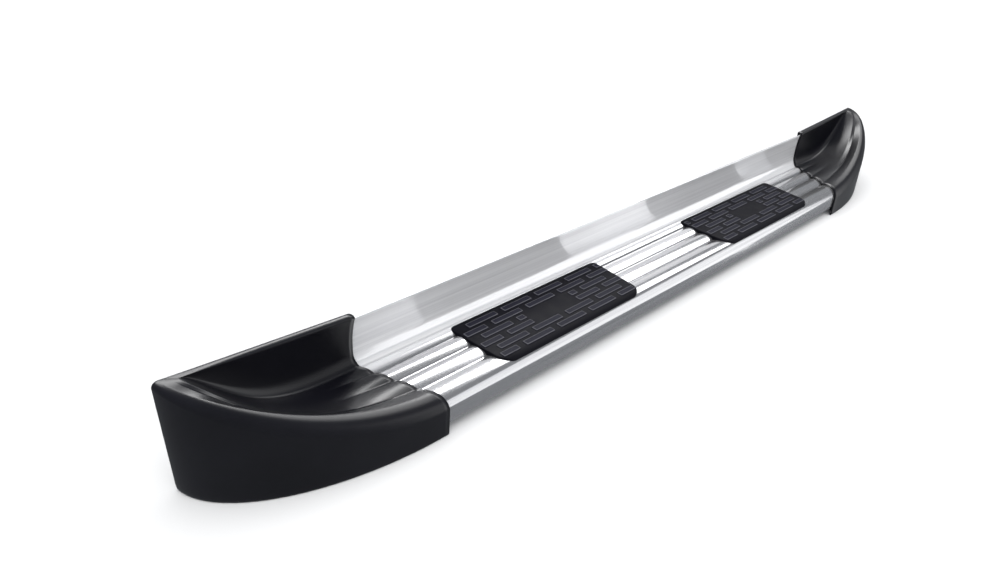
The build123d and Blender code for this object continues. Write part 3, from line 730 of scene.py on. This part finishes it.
class Shader:
    """Small helper for a Principled material whose inputs come from procedural textures."""

    def __init__(self, name, **values):
        self.material = bpy.data.materials.new(name)
        self.material.use_nodes = True
        self.tree = self.material.node_tree
        self.bsdf = self.tree.nodes["Principled BSDF"]
        for socket, value in values.items():
            self.bsdf.inputs[socket.replace("_", " ")].default_value = value
        self.coordinates = self.tree.nodes.new("ShaderNodeTexCoord").outputs["Object"]

    def noise(self, scale, detail=3.0, roughness=0.55, stretch=(1.0, 1.0, 1.0)):
        mapping = self.tree.nodes.new("ShaderNodeMapping")
        mapping.inputs["Scale"].default_value = stretch
        self.tree.links.new(self.coordinates, mapping.inputs["Vector"])
        noise = self.tree.nodes.new("ShaderNodeTexNoise")
        noise.inputs["Scale"].default_value = scale
        noise.inputs["Detail"].default_value = detail
        noise.inputs["Roughness"].default_value = roughness
        self.tree.links.new(mapping.outputs["Vector"], noise.inputs["Vector"])
        return noise.outputs["Fac"]

    def height(self, low, high):
        """0 below the height low, 1 above high."""
        axes = self.tree.nodes.new("ShaderNodeSeparateXYZ")
        self.tree.links.new(self.coordinates, axes.inputs["Vector"])
        scaled = self.tree.nodes.new("ShaderNodeMapRange")
        scaled.inputs["From Min"].default_value = low
        scaled.inputs["From Max"].default_value = high
        self.tree.links.new(axes.outputs["Z"], scaled.inputs["Value"])
        return scaled.outputs["Result"]

    def ramp(self, source, stops):
        """Colours, or greys, at positions along the source."""
        ramp = self.tree.nodes.new("ShaderNodeValToRGB")
        elements = ramp.color_ramp.elements
        while len(elements) < len(stops):
            elements.new(0.5)
        for element, (position, value) in zip(elements, stops):
            element.position = position
            colour = value if hasattr(value, "__len__") else (value, value, value)
            element.color = (*colour, 1.0)
        self.tree.links.new(source, ramp.inputs["Fac"])
        return ramp.outputs["Color"]

    def blend(self, factor, low, high):
        """From the colour low where the factor is 0 to high where it is 1."""
        mix = self.tree.nodes.new("ShaderNodeMixRGB")
        for socket, source in (("Fac", factor), ("Color1", low), ("Color2", high)):
            self.tree.links.new(source, mix.inputs[socket])
        return mix.outputs["Color"]

    def feed(self, socket, source):
        self.tree.links.new(source, self.bsdf.inputs[socket])

    def bump(self, source, strength, distance):
        bump = self.tree.nodes.new("ShaderNodeBump")
        bump.inputs["Strength"].default_value = strength
        bump.inputs["Distance"].default_value = distance
        self.tree.links.new(source, bump.inputs["Height"])
        self.tree.links.new(bump.outputs["Normal"], self.bsdf.inputs["Normal"])


def polished_stainless():
    """Bright sheet with lengthwise polishing lines; the wall is satin, the step and nose mirror-like and
    given a darker base colour than the wall as painted shade.
    """
    shader = Shader("polished_stainless", Coat_Weight=1.0, Coat_Roughness=0.03, Coat_IOR=1.8)
    wall = shader.height(CREASE[1] - SATIN_BELOW, CREASE[1] + SATIN_ABOVE)
    shader.feed("Metallic", shader.ramp(wall, [(0.0, 0.85), (1.0, 0.22)]))
    streaks = shader.noise(1.0, detail=5.0, roughness=0.65, stretch=(1.2, 170.0, 170.0))
    # Painted shade: the step and nose get a darker base colour than the wall, to hold back the lights on
    # them.
    step_colour_painted_shade = shader.ramp(streaks, [(0.3, (0.42, 0.42, 0.44)), (0.65, (0.60, 0.60, 0.61))])
    wall_colour = shader.ramp(streaks, [(0.3, (0.74, 0.74, 0.76)), (0.65, (0.94, 0.94, 0.95))])
    shader.feed("Base Color", shader.blend(wall, step_colour_painted_shade, wall_colour))
    shader.feed("Roughness", shader.ramp(streaks, [(0.3, 0.20), (0.7, 0.12)]))
    shader.bump(streaks, 0.12, POLISH_DEPTH)
    return shader.material


def black_moulding():
    """Satin black plastic with a fine moulded grain."""
    shader = Shader("black_moulding", Specular_IOR_Level=0.45)
    clouds = shader.noise(9.0, detail=2.0)
    dark, light = (0.002, 0.002, 0.004), (0.004, 0.004, 0.007)
    shader.feed("Base Color", shader.ramp(clouds, [(0.3, dark), (0.7, light)]))
    shader.feed("Roughness", shader.ramp(clouds, [(0.3, 0.29), (0.7, 0.33)]))
    shader.bump(shader.noise(1600.0, detail=2.0), 0.12, GRAIN_DEPTH)
    return shader.material


def rubber(name, dark, light):
    """Moulded rubber, slightly mottled."""
    shader = Shader(name, Specular_IOR_Level=0.06)
    clouds = shader.noise(40.0, detail=3.0)
    shader.feed("Base Color", shader.ramp(clouds, [(0.3, dark), (0.7, light)]))
    shader.feed("Roughness", shader.ramp(clouds, [(0.3, 0.5), (0.7, 0.62)]))
    shader.bump(shader.noise(1400.0, detail=2.0), 0.2, GRAIN_DEPTH)
    return shader.material


def plated(name, dark, light, scale=30.0, roughness=(0.3, 0.5)):
    """Plated or spring steel with a faint cloudy finish."""
    shader = Shader(name, Metallic=1.0)
    clouds = shader.noise(scale, detail=4.0)
    shader.feed("Base Color", shader.ramp(clouds, [(0.35, dark), (0.65, light)]))
    shader.feed("Roughness", shader.ramp(clouds, [(0.3, roughness[0]), (0.7, roughness[1])]))
    shader.bump(shader.noise(scale * 12), 0.1, PLATING_DEPTH)
    return shader.material


def nylon():
    """Black nylon of the bolt carriers."""
    shader = Shader("black_nylon", Specular_IOR_Level=0.4)
    clouds = shader.noise(120.0)
    shader.feed("Base Color", shader.ramp(clouds, [(0.3, 0.010), (0.7, 0.018)]))
    shader.feed("Roughness", shader.ramp(clouds, [(0.3, 0.4), (0.7, 0.5)]))
    return shader.material


def backdrop():
    """Pale studio floor."""
    shader = Shader("backdrop", Roughness=0.9, Specular_IOR_Level=0.0)
    clouds = shader.noise(0.8, detail=1.0)
    shader.feed("Base Color", shader.ramp(clouds, [(0.3, 0.80), (0.7, 0.82)]))
    return shader.material


MATERIALS = {
    "polished_stainless": polished_stainless(),
    "black_moulding": black_moulding(),
    "pad_rubber": rubber("pad_rubber", (0.003, 0.003, 0.005), (0.005, 0.005, 0.008)),
    "zinc_plate": plated("zinc_plate", (0.42, 0.43, 0.45), (0.55, 0.56, 0.57)),
    "bolt_zinc": plated("bolt_zinc", (0.50, 0.50, 0.50), (0.66, 0.65, 0.62), scale=90.0),
    "spring_steel": plated("spring_steel", (0.12, 0.12, 0.13), (0.2, 0.2, 0.21), scale=60.0),
    "black_nylon": nylon(),
}
# Lighter copies of the pad's rubber: painted light on the raised blocks, which leaves the slab between
# them darker as painted shade, and a painted highlight on the blocks' bevels.
TREAD_RUBBER_PAINTED_LIGHT = rubber("tread_rubber_painted_light", (0.010, 0.010, 0.017), (0.014, 0.014, 0.023))
EDGE_RUBBER_PAINTED_HIGHLIGHT = rubber("edge_rubber_painted_highlight", (0.070, 0.070, 0.080), (0.100, 0.100, 0.112))

# ---------------------------------------------------------------- pieces
record_slots = {part["node"]: part["material_slot"] for part in frame["record"]["subparts"]}
for node, mesh_object in frame["nodes"].items():
    mesh_object.data.materials.clear()
    mesh_object.data.materials.append(MATERIALS[record_slots[node]])


def place(piece, node):
    """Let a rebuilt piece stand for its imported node."""
    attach(piece, "root")
    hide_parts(node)


skin = make_object("stainless_sheet", *skin_mesh(), MATERIALS["polished_stainless"], sharp_angle=30.0)
place(skin, "step_skin")
pad_materials = (MATERIALS["pad_rubber"], TREAD_RUBBER_PAINTED_LIGHT, EDGE_RUBBER_PAINTED_HIGHLIGHT)
for side_name, side in SIDES.items():
    cap_node, pad_node = f"end_cap_{side_name}", f"step_pad_{side_name}"
    place(end_cap(cap_node, side, MATERIALS["black_moulding"]), cap_node)
    place(step_pad(pad_node, side, pad_materials), pad_node)

# ---------------------------------------------------------------- stage, camera and lights
FLOOR_SIZE = 30.0
CAMERA_AT = Vector((-1.327, -0.781, 0.777))
CAMERA_HEADING = math.radians(47.8)      # from +Y towards +X
CAMERA_PITCH = math.radians(27.85)       # downwards
CAMERA_ROLL = math.radians(-3.7)
CAMERA_LENS = 30.3
SOFTBOX_TARGET = (0.0, 0.0, 0.1)
SOFTBOXES = (                            # name, place, size, radiance
    ("rear_softbox", (0.32, 2.50, 3.12), (4.5, 1.7), 9.0),
    ("right_softbox", (2.55, 0.83, 2.97), (3.6, 1.9), 4.0),
    ("front_softbox", (2.80, -2.80, 0.20), (3.0, 3.8), 1.3),
)
FILLS = (                                # name, direction it comes from, strength, spread in degrees
    ("overhead_fill", (0.0, 0.0, 3.0), 2.4, 70),
    ("front_fill", (-1.5, -1.65, 2.0), 1.8, 90),
)
WORLD_COLOUR = (0.90, 0.94, 1.0, 1.0)
WORLD_STRENGTH = 0.25


def square(name, size, material):
    half = size / 2
    corners = [(-half, -half, 0.0), (half, -half, 0.0), (half, half, 0.0), (-half, half, 0.0)]
    return make_object(name, corners, [[0, 1, 2, 3]], material)


def add_light(data, name, location, target, diffuse, glossy):
    """A lamp that faces target and shows only in the kinds of reflection asked for."""
    lamp = bpy.data.objects.new(name, data)
    lamp.location = location
    lamp.rotation_euler = (Vector(target) - Vector(location)).to_track_quat("-Z", "Y").to_euler()
    lamp.visible_camera = False
    lamp.visible_diffuse = diffuse
    lamp.visible_glossy = glossy
    bpy.context.scene.collection.objects.link(lamp)


def softbox(name, location, size, radiance):
    """A rectangular light that gives the polished and moulded surfaces their highlights."""
    data = bpy.data.lights.new(name, "AREA")
    data.shape = "RECTANGLE"
    data.size, data.size_y = size
    data.energy = radiance * math.pi * size[0] * size[1]
    add_light(data, name, location, SOFTBOX_TARGET, diffuse=False, glossy=True)


def fill(name, direction, energy, spread):
    """Soft even light from a direction, spread degrees wide, without a highlight of its own."""
    data = bpy.data.lights.new(name, "SUN")
    data.energy = energy
    data.angle = math.radians(spread)
    add_light(data, name, direction, (0.0, 0.0, 0.0), diffuse=True, glossy=False)


def aim_camera():
    forward = Vector((math.sin(CAMERA_HEADING) * math.cos(CAMERA_PITCH),
                      math.cos(CAMERA_HEADING) * math.cos(CAMERA_PITCH), -math.sin(CAMERA_PITCH)))
    level = Vector((math.cos(CAMERA_HEADING), -math.sin(CAMERA_HEADING), 0.0))
    down = forward.cross(level)
    right = level * math.cos(CAMERA_ROLL) + down * math.sin(CAMERA_ROLL)
    up = level * math.sin(CAMERA_ROLL) - down * math.cos(CAMERA_ROLL)
    data = bpy.data.cameras.new("camera")
    data.lens = CAMERA_LENS
    camera = bpy.data.objects.new("camera", data)
    axes = Matrix((right, up, -forward)).transposed().to_4x4()
    camera.matrix_world = Matrix.Translation(CAMERA_AT) @ axes
    bpy.context.scene.collection.objects.link(camera)
    bpy.context.scene.camera = camera


floor = square("floor", FLOOR_SIZE, backdrop())
floor.visible_glossy = False     # glossy faces see past it, to the softboxes and the dim world
floor.visible_shadow = False
for light in SOFTBOXES:
    softbox(*light)
for light in FILLS:
    fill(*light)
world = bpy.data.worlds.new("studio")
world.use_nodes = True
background = world.node_tree.nodes["Background"]
background.inputs["Color"].default_value = WORLD_COLOUR
background.inputs["Strength"].default_value = WORLD_STRENGTH
bpy.context.scene.world = world
bpy.context.scene.view_settings.view_transform = "Standard"
aim_camera()
